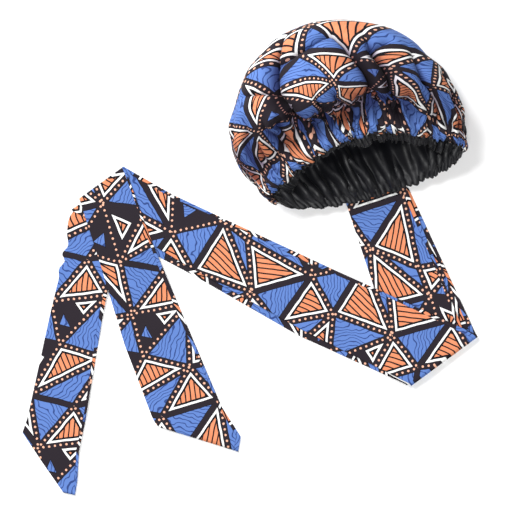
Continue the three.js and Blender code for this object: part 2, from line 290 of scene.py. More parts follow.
# Slopes where a tie comes down off the layers under it: where each starts, the way down, its length
# and its drop in layers. The second leg comes off the first leg and the left tail, and the right tail
# off the second leg and the left tail
SLOPE_COLUMNS = ("x", "y", "bearing", "long", "drop")
SECOND_LEG_SLOPES = table(SLOPE_COLUMNS, (146, -30, 198, 42, 2), (-157, 20, -10, 40, 1))
RIGHT_TAIL_SLOPES = table(SLOPE_COLUMNS, (-120, 4, 242, 42, 2), (-157, 20, -10, 40, 1))
LEFT_TAIL_SLOPES = table(SLOPE_COLUMNS)

# The wavy edge of the left tail: its stretch along y, its share of the width, the length of a radian of
# its waves, how far and over what length they bend, and how far it stands out and up
RUFFLE_TOP = 80
RUFFLE_FOOT = -35
RUFFLE_FADE = 25
RUFFLE_SHARE = 0.4
RUFFLE_LENGTH = 4.8
RUFFLE_BEND = 1.6
RUFFLE_EVERY = 11
RUFFLE_OUT = 2.6
RUFFLE_UP = 0.8

# Points of a tie, across its rounded edge in half thicknesses, across its flat part and round a crease,
# and how much the turned strip's width varies, in a wave with this many rows to a radian
EDGE_ROUNDING = (0, 0.15, 0.4, 0.7, 1)
FLAT_POINTS = 36
CREASE_POINTS = 14
TURNED_UNEVEN = 0.25
TURNED_EVERY = 9

# Corners of the print's repeat, a square tile, the shapes and dotted lines between them, and small
# triangles in the ground that is left
TILE = 176
PRINT_CORNERS = {
    "a": (18, 10), "b": (84, 24), "c": (142, 0),
    "d": (2, 72), "e": (56, 64), "f": (124, 86),
    "g": (32, 136), "h": (88, 124), "i": (156, 142),
}
PRINT_SHAPES = (
    ("abe", "orange"), ("aed", "blue"), ("bfe", "blue"), ("bcf", "orange"),
    ("caf", "blue"), ("adf", "orange"), ("dhg", "orange"), ("deh", "blue"),
    ("efh", "orange"), ("fih", "blue"), ("ghb", "blue"), ("hib", "orange"),
    ("icb", "blue"), ("iac", "orange"), ("iga", "blue"),
)
PRINT_DOTTED = (
    "ab", "be", "ae", "bc", "cf", "ac", "df", "ad", "dh", "dg", "gh", "eh", "fh",
    "di", "fi", "gb", "hb", "ib", "ic", "ia", "ga",
)
PRINT_SMALL = (
    ("orange", (-9, 129), (15, 119), (4, 99)),
    ("blue", (146, 96), (160, 90), (158, 106)),
    ("orange", (57, 174), (72, 192), (46, 187)),
    ("blue", (30, 160), (42, 158), (34, 172)),
)

# Lines of the print in metres, and half the share of their spacing that hatch lines and veins take up
INK_LINE = 0.0007
HATCH_GAP = 0.0023
HATCH_SHARE = 0.135
VEIN_SHARE = 0.115

# Noise in the print, in waves a metre: the drift in metres of lines drawn by hand, the streaks in the
# orange, and the veins of the blue, which follow both a noise and the distance across the strokes
HAND_DRIFT = 0.0013
DRIFT_SCALE = 60
STREAK_SCALE = (600, 90, 1)
GRAIN_SCALE = 38
GRAIN_VEINS = 4.2
VEIN_RATE = 200

# What a colour is multiplied by for ink lines, for the darker blue, for the paler orange, for painted shade
# on cloth in a hollow and along a tie's turned strip, and for the light clouds of the satin
INK_SHADE = (0.35, 0.35, 0.4)
NAVY_SHADE = (0.28, 0.3, 0.4)
PALE_ORANGE_SHADE = (1.05, 1.62, 2.0)
PAINTED_SHADE_TINT = (0.30, 0.24, 0.33)
SATIN_LIGHT = 3.5

# A line of painted shade just inside the edge of a tie's turned strip: its middle and half width in metres
# and its strength, and where the print lies on the strip
STRIP_START = 0.0001
STRIP_EDGE_MIDDLE = 0.0003
STRIP_EDGE_HALF = 0.00025
STRIP_EDGE_SHADE = 0.7
STRIP_PRINT = (0.083, 0.047, 0)

# Threads of the two cloths, their spacing and height in metres, and how much a thread's noise is drawn
# out. The satin's clouds are in waves a metre, and add to its roughness
COTTON_THREAD = (0.0012, 0.00012)
SATIN_THREAD = (0.0016, 0.00004)
THREAD_STRETCH = 0.25
SATIN_CLOUDS = 45
SATIN_ROUGHNESS = 0.40
CLOUD_ROUGHNESS = 0.14

# The stage: the floor's half side and clouds, each lamp's name, place, side and power in metres and
# watts, the light all round, and the camera's lens and sensor in millimetres
FLOOR_HALF = 6.0
FLOOR_LIGHT = (0.93, 0.93, 0.93, 1)
FLOOR_CLOUDS = 3
LAMPS = (
    ("key", (-1.7, 1.9, 1.9), 1.7, 176),
    ("fill", (0.5, -0.8, 3.0), 1.6, 62),
    ("front", (0.3, -2.0, 2.0), 1.0, 14),
)
WORLD_LIGHT = 0.18
LENS = 300
SENSOR = 36

# Kinds of sockets
VECTOR = "NodeSocketVector"
COLOUR = "NodeSocketColor"
VALUE = "NodeSocketFloat"


def smooth_step(value):
    """0 below 0, 1 above 1 and 3v^2 - 2v^3 between."""
    value = np.clip(value, 0, 1)
    return value * value * (3 - 2 * value)


def blend(first, second, share):
    """The value that lies the given share of the way from first to second."""
    return first + (second - first) * share


def unit(vectors):
    """Vectors divided by their lengths."""
    return vectors / np.maximum(np.linalg.norm(vectors, axis=-1, keepdims=True), 1e-9)


def ring_value(name, reach):
    """One column of RINGS at a reach, on cubic curves whose slopes join each row's neighbours."""
    x = RINGS["reach"]
    y = RINGS[name]
    row = np.clip(np.searchsorted(x, reach, side="left") - 1, 0, len(x) - 2)
    before = np.maximum(np.arange(len(x)) - 1, 0)
    after = np.minimum(np.arange(len(x)) + 1, len(x) - 1)
    slope = (y[after] - y[before]) / (x[after] - x[before])
    span = x[row + 1] - x[row]
    s = (reach - x[row]) / span
    rest = 1 - s
    return (
        y[row] * (1 + 2 * s) * rest * rest
        + y[row + 1] * s * s * (3 - 2 * s)
        + slope[row] * span * s * rest * rest
        - slope[row + 1] * span * s * s * rest
    )


def smooth_point(turn, reach, shaped):
    """The cap without folds: each ring is a rounded ellipse through its sides, top and lowest point.

    It goes across by the cosine of an angle, and back and up by a power of its sine. The ring's peak
    draws its top half to a point when shaped is true, and its lower half is skewed.
    """
    angle = turn + RING_STRETCH * np.sin(2 * turn)
    climb = np.abs(np.sin(angle))
    upper = np.sin(angle) >= 0
    peak = ring_value("peak", reach) * upper * shaped
    part = np.where(upper, blend(climb, climb ** PEAK_POWER, peak), climb ** LOWER_ROUND)
    pull = np.where(upper, 0, ring_value("skew", reach) * np.cos(angle) * climb)
    far_back = np.where(upper, ring_value("top_back", reach), ring_value("low_back", reach))
    far_up = np.where(upper, ring_value("top_up", reach), ring_value("low_up", reach))
    across = ring_value("across", reach) + np.maximum(ring_value("half", reach), 0) * np.cos(angle)
    back = blend(ring_value("side_back", reach), far_back, part) + pull
    return np.stack([across, back, blend(ring_value("side_up", reach), far_up, part)], -1)


def cap_directions(turn, reach):
    """The smooth cap's outward direction, the one along the cloth to the hem and the one round the ring."""
    step = NORMAL_STEP
    place = np.maximum(reach, step)
    along = smooth_point(turn, place + step, False) - smooth_point(turn, place - step, False)
    around = smooth_point(turn + step, place, False) - smooth_point(turn - step, place, False)
    return unit(np.cross(around, along)), unit(along), unit(around)


def degrees_apart(turn, degrees):
    """How far an angle in radians is from one in degrees, from -180 to 180."""
    return (np.degrees(turn) - degrees + 180) % 360 - 180


def valley(apart):
    """A sharp valley, e to the power of minus its steepness times the distance from its bottom."""
    return np.exp(-VALLEY_STEEPNESS * np.abs(apart))


def beside_valley(apart):
    """A soft bell curve beside a valley, on its positive side."""
    return np.exp(-((apart - LAP_PLACE) / LAP_WIDTH) ** 2)


def folds(turn, reach):
    """How far the deep folds and hollows press the cloth in, and how far puffs lap over them.

    Each is a sharp valley, across a fold's path in degrees and across a hollow's in reach. Its lap
    pushes the cloth beside it towards the valley: round the ring beside a fold, and away from the hem
    before a hollow.
    """
    depth = np.zeros_like(turn)
    aside = np.zeros_like(turn)
    away = np.zeros_like(turn)
    climb = CASING_REACH - reach
    for at, lean, bend, wide, deep, start, stop, lap in zip(*FOLDS.values()):
        wander = FOLD_WANDER * np.sin(FOLD_WANDER_RATE * reach + at)
        path = at + lean * climb + bend * climb * np.abs(climb) + wander
        apart = degrees_apart(turn, path) / (wide * (FOLD_WIDTH_AT_HEM + FOLD_WIDENING * (1 - reach)))
        shown = smooth_step((reach - start) / FOLD_FADE_IN)
        shown = shown * smooth_step((stop + FOLD_RUN_OUT - reach) / FOLD_FADE_OUT)
        depth += deep * shown * valley(apart)
        aside -= lap * shown * beside_valley(np.sign(lap) * apart)
    for at, row, slant, wide, long, deep, lap in zip(*DENTS.values()):
        off = degrees_apart(turn, at)
        shown = np.exp(-(off / wide) ** DENT_SQUARENESS)
        apart = (reach - row - slant * off) / long
        depth += deep * shown * valley(apart)
        away += lap * shown * beside_valley(apart)
    return depth, aside, away


def ring_waves(rows, turn, reach):
    """The sum of a table's sine waves round the ring, each turned on by its twist with the reach."""
    total = np.zeros_like(turn)
    for size, waves, start, twist in zip(*rows.values()):
        total += size * np.sin(waves * turn + start + twist * reach)
    return total


def gather_phase(turn, reach, count):
    """The phase of a number of gathers, which wander as the coarse ones do, so that folds branch."""
    swing = (1 - reach) * ring_waves(GATHER_SWING, turn, reach)
    return count * turn + (ring_waves(GATHER_WANDER, turn, reach) + swing) * count / COARSE_GATHERS


def gathers(turn, reach, laid):
    """Depth and lean of the gathers: puffs with sharp valleys, 1 less a power of |sin| of half a phase.

    Their strength varies round the ring by two crossed waves. Each puff leans over a neighbour by the
    sine of the whole phase, moved on by waves that change the side.
    """
    depth = np.zeros_like(turn)
    shift = np.zeros_like(turn)
    first, second = STRENGTH_WAVES
    for count, start, full, stop, deep, later, on_table in zip(*GATHERS.values()):
        strength = GATHER_STRENGTH + GATHER_UNEVEN * np.sin(first * turn + count) * np.cos(second * turn)
        strength = strength * blend(1, on_table, laid)
        shown = smooth_step((reach - start - later * laid) / (full - start))
        shown = shown * smooth_step((stop - reach) / GATHER_FADE_OUT)
        phase = gather_phase(turn, reach, count)
        depth += deep * strength * shown * (1 - np.abs(np.sin(phase / 2)) ** GATHER_POWER)
        lean = np.sin(phase + ring_waves(LEAN_SWING, turn, reach))
        shift += GATHER_LEAN * deep * strength * shown * lean
    return depth, shift


def wave(x, y, long, slant, bend, every):
    """A sine wave along x, long for each radian, whose crests slant with y and bend by a sine of y."""
    return np.sin((x + slant * y) / long + bend * np.sin(y / every))


def crossed_waves(x, y, rows):
    """A wave along x times a wave along y."""
    return wave(x, y, *rows[0]) * wave(y, x, *rows[1])


def swells(heights, broad, fine):
    """Broad and fine waves together, each from 0 to twice its height."""
    return heights[0] * (1 + broad) + heights[1] * (1 + fine)


def crumple_depth(radius, turn, reach):
    """Broad soft swells of the whole cloth: crossed sine waves over the flat piece, 0 to 5 mm."""
    x = radius * reach * np.cos(turn)
    y = radius * reach * np.sin(turn)
    return swells(CRUMPLE_HEIGHTS, crossed_waves(x, y, CRUMPLE_BROAD), crossed_waves(x, y, CRUMPLE_FINE))


def support_height(across, back):
    """The height of what the cap lies on: the table, or the two ties under its lower lip."""
    beside = smooth_step((UNDER_LIP_HALF - np.abs(across - UNDER_LIP_ACROSS)) / UNDER_LIP_SLOPE)
    before = smooth_step((UNDER_LIP_BACK - back) / UNDER_LIP_SLOPE)
    return UNDER_LIP_HEIGHT * beside * before


def stitch_reach(sizes):
    """The reach of the stitch line that closes the casing."""
    return 1 - sizes.casing_width / sizes.flat_radius


def cloth_relief(sizes, turn, held, laid, rim, satin):
    """How far one cloth is pressed in, its shift round the ring and away from the hem, and its hollows for
    painted shade.

    The depth is that of folds, gathers, swells and the stitch line. Where the cloth is laid, and at the
    rims, a depth d becomes m tanh(d / m), which stays under the most m. Where the cloth is laid, the
    cotton's folds are lower than the satin's above them. Elsewhere, up to the middle of the casing, the
    satin's folds are wider, so that it stays inside the cotton's puffs. At the rims both cloths have the
    same folds.
    """
    stitch = stitch_reach(sizes)
    fold_depth, aside, away = folds(turn, held)
    gather_depth, gather_shift = gathers(turn, held, laid)
    # How deep a place lies in folds and gathers, from 0 to 1: the mask of the cotton's painted shade
    hollow = smooth_step((fold_depth + gather_depth - SHADE_DEPTH_START) / SHADE_DEPTH_RANGE)
    shift = (aside + gather_shift) * (1 - laid) * blend(1, RIM_LEAN, rim)
    calm = 1 - CALM * laid * (1 - smooth_step((held - stitch + CALM_BEFORE) / CALM_FADE))
    crumple = crumple_depth(sizes.flat_radius / MM, turn, held) * blend(1, LAID_CRUMPLE, laid)
    groove = blend(GROOVE_DEPTH, LAID_GROOVE_DEPTH, laid) * np.exp(-((held - stitch) / GROOVE_WIDTH) ** 2)
    depth = fold_depth + gather_depth * calm + crumple + groove
    most = blend(MOST_DEPTH, LAID_MOST_DEPTH, laid) * blend(1, RIM_DEPTH, rim)
    depth = blend(depth, most * np.tanh(depth / most), np.maximum(laid, rim))
    if satin:
        widest = np.max([np.roll(depth, step, 1) for step in range(-LINING_WIDENING, LINING_WIDENING + 1)], 0)
        before_casing = 1 - smooth_step((held - WIDENING_END) / WIDENING_FADE)
        depth = blend(depth, widest, (1 - laid) * (1 - rim) * before_casing)
    else:
        depth = depth * blend(1, LAID_COTTON, laid * (1 - rim))
    return depth, shift, away, hollow


def hem_run(radius, turn, reach, held):
    """How far the cloth runs on along itself: the frill, and the scallops that the gathers draw in the hem.

    The scallops are the sines of the fine and the coarse gathers' phases.
    """
    scallop = np.sin(gather_phase(turn, held, FINE_GATHERS))
    scallop = scallop + np.sin(gather_phase(turn, held, COARSE_GATHERS) + 1)
    share = np.interp(np.degrees(turn), FRILL["at"], FRILL["share"])
    at_hem = smooth_step((held - HEM_START) / (1 - HEM_START))
    return (reach - held) * radius * share + (SCALLOP * scallop - SCALLOP_MIDDLE) * at_hem


def cap_skin(sizes, turn, reach, bulge):
    """The skin that one cloth lies under, in the cap's own axes: the smooth cap, less folds, plus casing.

    bulge is how far the casing swells, out for the cotton and in for the satin. Reach over 1 is the
    frill beyond the hem, which runs on along the cloth and curls in. Where the cloth faces the table it
    is laid on it, and its folds stand up from there. The second result is how deep in a fold each place
    is, from 0 to 1: the mask of the cotton's painted shade.
    """
    held = np.minimum(reach, 1)
    out, along, around = cap_directions(turn, held)
    laid = smooth_step(-LAID_STEEPNESS * out[..., 2])
    rim = np.abs(np.cos(turn + RIM_TURN)) ** RIM_SHARPNESS * smooth_step((held - RIM_START) / RIM_FADE)
    depth, shift, away, hollow = cloth_relief(sizes, turn, held, laid, rim, bulge < 0)
    stitch = stitch_reach(sizes)
    in_casing = np.clip((held - stitch) / (1 - stitch), 0, 1)
    near_pole = np.minimum(1, held / POLE_REACH)
    inward = (depth - sizes.puff / MM * (1 - laid)) * near_pole
    inward = inward - bulge * blend(1, LAID_SWELL, laid) * np.sin(np.pi * in_casing) ** CASING_ROUND
    points = smooth_point(turn, held, True)
    points[..., 2] = np.maximum(points[..., 2], support_height(points[..., 0], points[..., 1]))
    points += around * (shift * near_pole)[..., None] - out * inward[..., None]
    beyond = hem_run(sizes.flat_radius / MM, turn, reach, held) - away * near_pole
    curl = CURL * np.maximum(beyond, 0) ** 2
    return points + along * beyond[..., None] - out * curl[..., None], hollow


def cap_face(sizes, skin, depth):
    """A face of the cloth in metres, depth below the skin along its own normal and above the table."""
    around = np.roll(skin, -1, 1) - np.roll(skin, 1, 1)
    normal = unit(np.cross(around, np.gradient(skin, axis=0)))
    points = skin - normal * depth
    floor = support_height(points[..., 0], points[..., 1]) + depth
    points[..., 2] = np.maximum(points[..., 2], floor)
    cosine = math.cos(sizes.mouth_turn)
    sine = math.sin(sizes.mouth_turn)
    x = points[..., 0] * cosine - points[..., 1] * sine + sizes.mouth_x / MM
    y = points[..., 0] * sine + points[..., 1] * cosine + sizes.mouth_y / MM
    return np.stack([x, y, points[..., 2]], -1) * MM


def make_object(name, vertices, faces, flat, material):
    """A smooth mesh object with the cloth's flat coordinates, in metres, as its UV map."""
    mesh = bpy.data.meshes.new(name)
    mesh.from_pydata(vertices.tolist(), [], faces)
    corner = np.empty(len(mesh.loops), int)
    mesh.loops.foreach_get("vertex_index", corner)
    layer = mesh.uv_layers.new(name="flat")
    layer.uv.foreach_set("vector", flat[corner].astype(np.float32).ravel())
    mesh.shade_smooth()
    mesh.materials.append(material)
    made = bpy.data.objects.new(name, mesh)
    bpy.context.scene.collection.objects.link(made)
    return made


def add_attribute(made, name, values):
    """One number for each point of a piece, which its material reads."""
    layer = made.data.attributes.new(name, "FLOAT", "POINT")
    layer.data.foreach_set("value", values.astype(np.float32))


def grid_faces(rows, columns, start, flipped):
    """Quads between rows of points that each close into a ring."""
    row, column = np.meshgrid(np.arange(rows - 1), np.arange(columns), indexing="ij")
    following = (column + 1) % columns
    first = start + row * columns + column
    second = start + row * columns + following
    quads = np.stack([first, second, second + columns, first + columns], -1).reshape(-1, 4)
    return (quads[:, ::-1] if flipped else quads).tolist()


def ring_reaches(sizes):
    """The reach of each ring from 0 to 1, a little closer together at the hem."""
    return np.linspace(0, 1, sizes.rows) ** RING_CROWDING


def cup(name, sizes, reaches, depths, bulge, material):
    """A cup of cloth: an outer and an inner face from the far end, joined at the hem.

    The two depths are how far the faces lie under the skin. The flat coordinates are the polar grid of
    the round piece of cloth.
    """
    columns = sizes.columns
    turn, reach = np.meshgrid(2 * np.pi * np.arange(columns) / columns, reaches[1:])
    skin, hollow = cap_skin(sizes, turn, reach, bulge)
    middle = np.array([sizes.print_shift])
    spread = np.stack([np.cos(turn), np.sin(turn)], -1) * (reach * sizes.flat_radius)[..., None] + middle
    vertices = []
    for depth in depths:
        face = cap_face(sizes, skin, depth)
        vertices += [face[:1].mean(1), face.reshape(-1, 3)]
    flat = np.concatenate([middle, spread.reshape(-1, 2)] * 2)
    column = np.arange(columns)
    following = (column + 1) % columns
    starts = (0, 1 + turn.size)
    faces = []
    for start, flipped in zip(starts, (False, True)):
        fan = np.stack([np.full(columns, start), start + 1 + following, start + 1 + column], -1)
        faces += (fan[:, ::-1] if flipped else fan).tolist()
        faces += grid_faces(len(reach), columns, start + 1, flipped)
    outer, inner = (start + 1 + turn.size - columns for start in starts)
    faces += np.stack([outer + column, outer + following, inner + following, inner + column], -1).tolist()
    made = make_object(name, np.concatenate(vertices), faces, flat, material)
    # The hollow mask goes with the mesh: the cotton's colour is darkened by it as painted shade
    add_attribute(made, "hollow", np.concatenate([[0], hollow.ravel()] * 2))
    return made


def slope_height(slopes, x, y):
    """What is left of the slopes' drops at a place, in layers: each falls on a smooth step."""
    height = np.zeros_like(x)
    for slope_x, slope_y, bearing, long, drop in zip(*slopes.values()):
        way = math.radians(bearing)
        ahead = (x - slope_x) * math.cos(way) + (y - slope_y) * math.sin(way)
        height += drop * (1 - smooth_step(ahead / long))
    return height


def pucker(x, y):
    """The unevenness of the table-flat cloth, the same for every layer at one place: crossed sine waves.

    They are faint under the cap's lip and grow beyond it.
    """
    from_mouth = np.hypot(x - MOUTH_X / MM, y - MOUTH_Y / MM)
    share = blend(PUCKER_NEAR, PUCKER_FAR, smooth_step(from_mouth / PUCKER_START - 1))
    return share * swells(PUCKER_HEIGHTS, crossed_waves(x, y, PUCKER_BROAD), wave(y, x, *PUCKER_FINE))


def row_edges(rows, row):
    """The two ends of one row of a tie's table."""
    return np.array([rows["a_x"][row], rows["a_y"][row]]), np.array([rows["b_x"][row], rows["b_y"][row]])


def mirror(points, row, rows):
    """Points reflected in the line of one row of a tie's table: the cloth unfolded at that crease."""
    start, end = row_edges(rows, row)
    along = unit(end - start)
    offset = points - start
    return start + 2 * (offset @ along)[..., None] * along - offset


def edge_point(rows, place, across):
    """A point at a row, or between two, of a tie's table and between its two edges, in millimetres."""
    a_x, a_y, b_x, b_y = (np.interp(place, np.arange(len(values)), values) for values in rows.values())
    return np.stack([blend(a_x, b_x, across), blend(a_y, b_y, across)], -1)


def ruffle(across, y):
    """How far the wavy edge a of the left tail stands out and up, below its crease: a sine along y."""
    near = np.clip(1 - across / RUFFLE_SHARE, 0, 1) ** 2
    near = near * smooth_step((RUFFLE_TOP - y) / RUFFLE_FADE) * smooth_step((y - RUFFLE_FOOT) / RUFFLE_FADE)
    phase = y / RUFFLE_LENGTH + RUFFLE_BEND * np.sin(y / RUFFLE_EVERY)
    return RUFFLE_OUT * near * np.sin(phase), RUFFLE_UP * near * (1 + np.sin(phase + 1))


def leg(sizes, rows, first, last, level, slopes, facing, across, ruffled=False):
    """One flat leg of a tie: centre points, normals and flat coordinates on a grid.

    Its places are blended between the table's rows and edges. Its height is that of the layers under
    it, what is left of its slopes, and the puckers.
    """
    corners = np.arange(first, last + 1)
    lengths = np.linalg.norm(np.diff(edge_point(rows, corners, 0.5), axis=0), axis=-1)
    stations = []
    for corner, length in zip(corners, lengths):
        count = max(2, round(length / sizes.step * MM))
        stations.append(corner + np.linspace(0, 1, count, endpoint=False))
    place, across = np.meshgrid(np.concatenate(stations + [[last]]), across, indexing="ij")
    flat = edge_point(rows, place, across)
    x = flat[..., 0]
    y = flat[..., 1]
    layers = level + slope_height(slopes, x, y)
    z = sizes.thickness / MM / 2 + layers * sizes.pitch / MM + pucker(x, y)
    if ruffled:
        aside, rise = ruffle(across, y)
        x = x - aside
        z = z + rise
    normal = np.zeros(flat.shape[:-1] + (3,))
    normal[..., 2] = facing
    return np.stack([x, y, z], -1), normal, flat


def crease(sizes, rows, row, level, rise, facing, across):
    """Half a turn of cloth about one row's line: a half circle whose diameter is rise layers."""
    start, end = row_edges(rows, row)
    along = unit(end - start)
    outwards = np.array([along[1], -along[0]]) * facing
    radius = rise * sizes.pitch / MM / 2
    angle, across = np.meshgrid(np.linspace(0, np.pi, CREASE_POINTS)[1:-1], across, indexing="ij")
    line = start + (end - start) * across[..., None]
    flat = line + outwards * (np.abs(radius) * np.sin(angle))[..., None]
    lift = pucker(line[..., 0], line[..., 1])
    z = sizes.thickness / MM / 2 + level * sizes.pitch / MM + radius * (1 - np.cos(angle)) + lift
    normal = np.zeros(flat.shape[:-1] + (3,))
    normal[..., 2] = facing * np.cos(angle)
    normal[..., :2] = outwards * (-facing * np.sign(radius) * np.sin(angle))[..., None]
    return np.concatenate([flat, z[..., None]], -1), normal, line


def around_ring(upper, lower):
    """Each row's points along the upper face and back along the lower one, which shares its two edges."""
    return np.concatenate([upper, lower[:, -2:0:-1]], 1)


def end_cap(base, places, around, flipped):
    """Faces that close one end of a tie: quads between upper and lower points, a triangle at each edge."""
    upper = base + np.arange(1, places - 2)
    lower = 2 * base + around - upper
    faces = np.stack([upper, upper + 1, lower - 1, lower], -1).tolist()
    faces += [[base, base + 1, base + around - 1], [base + places - 2, base + places - 1, base + places]]
    return [face[::-1] for face in faces] if flipped else faces


def tie(name, sizes, rows, levels, slopes, rises, print_at, ruffled, material):
    """A flat tube of cloth: three legs with a crease between each two, on a grid along and across.

    levels are the layers under each leg and, third, under the second crease. rises are the layers that
    each crease climbs, or goes down if negative. The edges are rounded: the half thickness is that of a
    circle within half a thickness of an edge.
    """
    half = sizes.thickness / MM / 2
    edge_a, edge_b = row_edges(rows, FIRST_CREASE)
    width = np.linalg.norm(edge_b - edge_a)
    rounding = np.array(EDGE_ROUNDING) * half / width
    middle = np.linspace(rounding[-1], 1 - rounding[-1], FLAT_POINTS)
    across = np.concatenate([rounding[:-1], middle, 1 - rounding[-2::-1]])
    from_edge = np.minimum(across, 1 - across) * width / half
    thick = half * np.sqrt(np.clip(1 - (1 - np.minimum(from_edge, 1)) ** 2, 0, 1))
    end = len(rows["a_x"]) - 1
    parts = [
        leg(sizes, rows, 0, FIRST_CREASE, levels[0], {}, 1, across),
        crease(sizes, rows, FIRST_CREASE, levels[0], rises[0], 1, across),
        leg(sizes, rows, FIRST_CREASE, SECOND_CREASE, levels[1], slopes[0], -1, across),
        crease(sizes, rows, SECOND_CREASE, levels[2], rises[1], -1, across),
        leg(sizes, rows, SECOND_CREASE, end, levels[3], slopes[1], 1, across, ruffled),
    ]
    centres, normals, flats = zip(*parts)
    unfolded = list(flats[:2])
    unfolded += [mirror(flat, FIRST_CREASE, rows) for flat in flats[2:4]]
    unfolded.append(mirror(mirror(flats[4], SECOND_CREASE, rows), FIRST_CREASE, rows))
    centre = np.concatenate(centres)
    swell = np.concatenate(normals) * thick[None, :, None]
    ring = around_ring(centre + swell, centre - swell) * MM
    flat = (np.concatenate(unfolded) + np.array(print_at)) * MM
    strip = sizes.turned * (1 + TURNED_UNEVEN * np.sin(np.arange(len(centre)) / TURNED_EVERY))
    turned = (across - 1) * width * MM + strip[:, None]
    length, around = ring.shape[:2]
    faces = grid_faces(length, around, 0, True)
    faces += end_cap(0, len(across), around, False)
    faces += end_cap((length - 1) * around, len(across), around, True)
    made = make_object(name, ring.reshape(-1, 3), faces, around_ring(flat, flat).reshape(-1, 2), material)
    add_attribute(made, "turned", around_ring(turned, turned).ravel())
    return made


class Graph:
    """Adds nodes to one node tree and joins them: a value that is a socket is linked, others are set."""

    def __init__(self, tree):
        self.tree = tree

    def put(self, kind, *values, **settings):
        """A new node with its settings, and values for its first inputs."""
        node = self.tree.nodes.new(kind)
        for name, value in settings.items():
            setattr(node, name, value)
        for socket, value in zip(node.inputs, values):
            self.join(socket, value)
        return node

    def join(self, socket, value):
        """Links or sets one input; None leaves it as it is."""
        if isinstance(value, bpy.types.NodeSocket):
            self.tree.links.new(value, socket)
        elif value is not None:
            socket.default_value = value

    def math(self, operation, *values):
        """The result of one operation on numbers."""
        return self.put("ShaderNodeMath", *values, operation=operation).outputs[0]

    def vector(self, operation, *values):
        """The result of one operation on vectors or colours."""
        node = self.put("ShaderNodeVectorMath", *values, operation=operation)
        return node.outputs["Value"] if operation == "DOT_PRODUCT" else node.outputs[0]

    def mix(self, factor, first, second):
        """The first colour where factor is 0 and the second where it is 1."""
        node = self.tree.nodes.new("ShaderNodeMix")
        node.data_type = "RGBA"
        self.join(node.inputs[0], factor)
        self.join(node.inputs[6], first)
        self.join(node.inputs[7], second)
        return node.outputs[2]

    def noise(self, place, scale, detail, output="Fac"):
        """Soft flat noise from 0 to 1."""
        node = self.put("ShaderNodeTexNoise", place, noise_dimensions="2D")
        self.join(node.inputs["Scale"], scale)
        node.inputs["Detail"].default_value = detail
        return node.outputs[output]

    def group(self, group, *values):
        """A node group with values for its first inputs."""
        return self.put("ShaderNodeGroup", *values, node_tree=group)


def new_group(name, inputs, outputs):
    """A node group with named sockets; inputs and outputs are (name, kind, default) and (name, kind)."""
    group = bpy.data.node_groups.new(name, "ShaderNodeTree")
    for label, kind, default in inputs:
        socket = group.interface.new_socket(name=label, in_out="INPUT", socket_type=kind)
        if default is not None:
            socket.default_value = default
    for label, kind in outputs:
        group.interface.new_socket(name=label, in_out="OUTPUT", socket_type=kind)
    graph = Graph(group)
    return graph, graph.put("NodeGroupInput").outputs, graph.put("NodeGroupOutput").inputs


def corner_points(names):
    """The named corners as one shape, each the repeat nearest to the first."""
    corners = np.array([PRINT_CORNERS[name] for name in names], float)
    first = corners[0]
    return list(first + (corners - first + TILE / 2) % TILE - TILE / 2)


def triangle_sides(points):
    """The centre, three sides as (normal x, normal y, distance from the centre) and a direction.

    The direction is square to the line that halves the corner between the last two sides.
    """
    points = np.array(points, float) * MM
    centre = points.mean(0)
    sides = []
    for index in range(3):
        start = points[index] - centre
        end = points[(index + 1) % 3] - centre
        along = unit(end - start)
        normal = np.array([-along[1], along[0]])
        distance = -normal @ start
        sign = 1.0 if distance > 0 else -1.0
        sides.append((normal[0] * sign, normal[1] * sign, distance * sign))
    return centre, sides, unit(np.array(sides[1][:2]) - np.array(sides[2][:2]))


def triangle_group():
    """How far a place is inside one repeating triangle: the least of its distances to the three sides.

    A place has 1 as its third number, so that a side's third number adds its distance.
    """
    graph, given, result = new_group(
        "Triangle inset",
        [("Place", VECTOR, None), ("Centre", VECTOR, None), ("Side 1", VECTOR, None),
         ("Side 2", VECTOR, None), ("Side 3", VECTOR, None), ("Square to strokes", VECTOR, None)],
        [("Inset", VALUE), ("Stroke", VALUE)],
    )
    half = TILE * MM / 2
    offset = graph.vector("SUBTRACT", given["Place"], given["Centre"])
    near = graph.vector("WRAP", offset, (half, half, 2), (-half, -half, -2))
    insets = [graph.vector("DOT_PRODUCT", near, given[f"Side {index}"]) for index in (1, 2, 3)]
    graph.join(result["Inset"], graph.math("MINIMUM", graph.math("MINIMUM", insets[0], insets[1]), insets[2]))
    graph.join(result["Stroke"], graph.vector("DOT_PRODUCT", near, given["Square to strokes"]))
    return graph.tree


def dot_row_group():
    """How far a place is from the nearest dot of one repeating row of dots, in metres."""
    graph, given, result = new_group(
        "Row of dots",
        [("Place", VECTOR, None), ("Centre", VECTOR, None), ("Along", VECTOR, None), ("Aside", VECTOR, None),
         ("Half length", VALUE, None), ("Pitch", VALUE, None)],
        [("Distance", VALUE)],
    )
    half = TILE * MM / 2
    offset = graph.vector("SUBTRACT", given["Place"], given["Centre"])
    near = graph.vector("WRAP", offset, (half, half, half), (-half, -half, -half))
    along = graph.vector("DOT_PRODUCT", near, given["Along"])
    aside = graph.vector("DOT_PRODUCT", near, given["Aside"])
    step = graph.math("PINGPONG", along, graph.math("MULTIPLY", given["Pitch"], 0.5))
    square = graph.math("MULTIPLY_ADD", step, step, graph.math("MULTIPLY", aside, aside))
    past = graph.math("GREATER_THAN", graph.math("ABSOLUTE", along), given["Half length"])
    graph.join(result["Distance"], graph.math("ADD", graph.math("SQRT", square), past))
    return graph.tree


